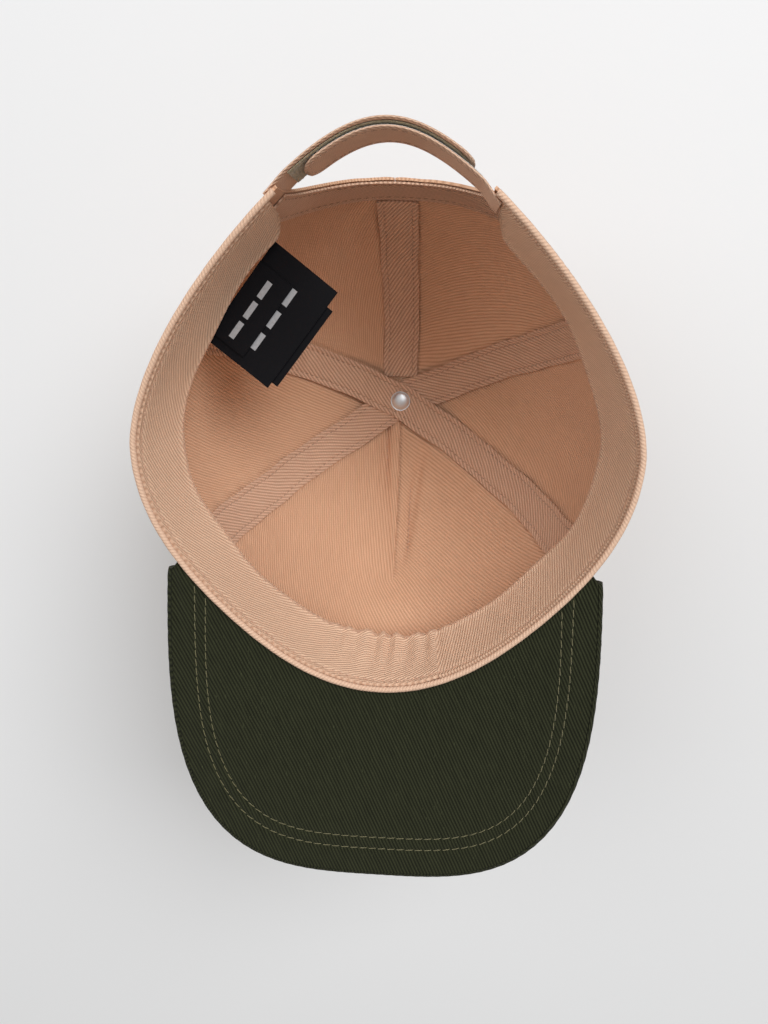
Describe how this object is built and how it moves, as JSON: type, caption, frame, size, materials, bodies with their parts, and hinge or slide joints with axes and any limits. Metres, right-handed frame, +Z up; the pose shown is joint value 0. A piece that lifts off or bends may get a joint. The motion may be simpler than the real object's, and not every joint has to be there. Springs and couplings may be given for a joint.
{
  "type": "baseball cap",
  "caption": "Five-panel cotton twill baseball cap with a taped-seam crown, sweatband, stiff curved visor and a touch-fastener strap across a rear arch.",
  "frame": {"origin": "middle of the head opening, level with its side edges", "axes": "+Z up as worn, towards the button; the visor points along -Y, the closure strap is at +Y, and +X is the wearer's left"},
  "size_m": [0.1748, 0.2673, 0.1346],
  "materials": {
    "crown_twill": "peach cotton twill, fine diagonal rib, soft and matt",
    "band_twill": "peach cotton twill, slightly paler, softly creased",
    "seam_tape": "bias-cut peach twill tape with two rows of stitching",
    "strap_twill": "peach cotton twill, folded and stitched",
    "visor_twill": "dark olive cotton twill with a bold diagonal rib and khaki stitching",
    "visor_plastic": "milky white moulded sheet",
    "rivet_metal": "satin nickel",
    "loop_pile": "napped beige-olive loop pile",
    "hook_nylon": "milky nylon hooks",
    "label_satin": "black woven satin"
  },
  "bodies": {
    "cap": {"front_panel": "crown_twill", "side_panel_left": "crown_twill", "side_panel_right": "crown_twill", "rear_panel_left": "crown_twill", "rear_panel_right": "crown_twill", "rear_centre_tape": "seam_tape", "lower_cross_tape": "seam_tape", "upper_cross_tape": "seam_tape", "arch_binding": "seam_tape", "rim_binding": "seam_tape", "sweatband": "band_twill", "button_cover": "crown_twill", "button_core": "rivet_metal", "inner_rivet": "rivet_metal", "visor_board": "visor_plastic", "visor_top_cover": "visor_twill", "visor_under_cover": "visor_twill"},
    "loop_strap": {"loop_strap": "strap_twill", "loop_tape": "loop_pile"},
    "hook_strap": {"hook_strap": "strap_twill", "hook_tape": "hook_nylon"},
    "size_label": {"size_label": "label_satin"},
    "brand_label": {"brand_label": "label_satin"},
    "care_label": {"care_label": "label_satin"}
  },
  "joints": [
    {"name": "loop_strap_peel", "type": "hinge", "parent": "cap", "child": "loop_strap", "pos_m": [0.03296, 0.08621, -0.00569], "axis": [0, 0, -1], "range_deg": [0, 120]},
    {"name": "hook_strap_swing", "type": "hinge", "parent": "cap", "child": "hook_strap", "pos_m": [-0.03127, 0.08423, -0.00569], "axis": [0, 0, -1], "range_deg": [0, 60]},
    {"name": "size_label_flip", "type": "hinge", "parent": "cap", "child": "size_label", "pos_m": [0.06734, 0.03351, 0.03204], "axis": [0.6082, -0.7937, 0], "range_deg": [0, 75]},
    {"name": "brand_label_flip", "type": "hinge", "parent": "cap", "child": "brand_label", "pos_m": [0.06734, 0.03351, 0.03284], "axis": [0.6082, -0.7937, 0], "range_deg": [0, 64]},
    {"name": "care_label_flip", "type": "hinge", "parent": "cap", "child": "care_label", "pos_m": [0.06734, 0.03351, 0.03363], "axis": [0.6082, -0.7937, 0], "range_deg": [0, 53]}
  ],
  "couplings": [
    {"joint": "brand_label_flip", "follows": "size_label_flip", "ratio": 0.85},
    {"joint": "care_label_flip", "follows": "size_label_flip", "ratio": 0.7}
  ]
}
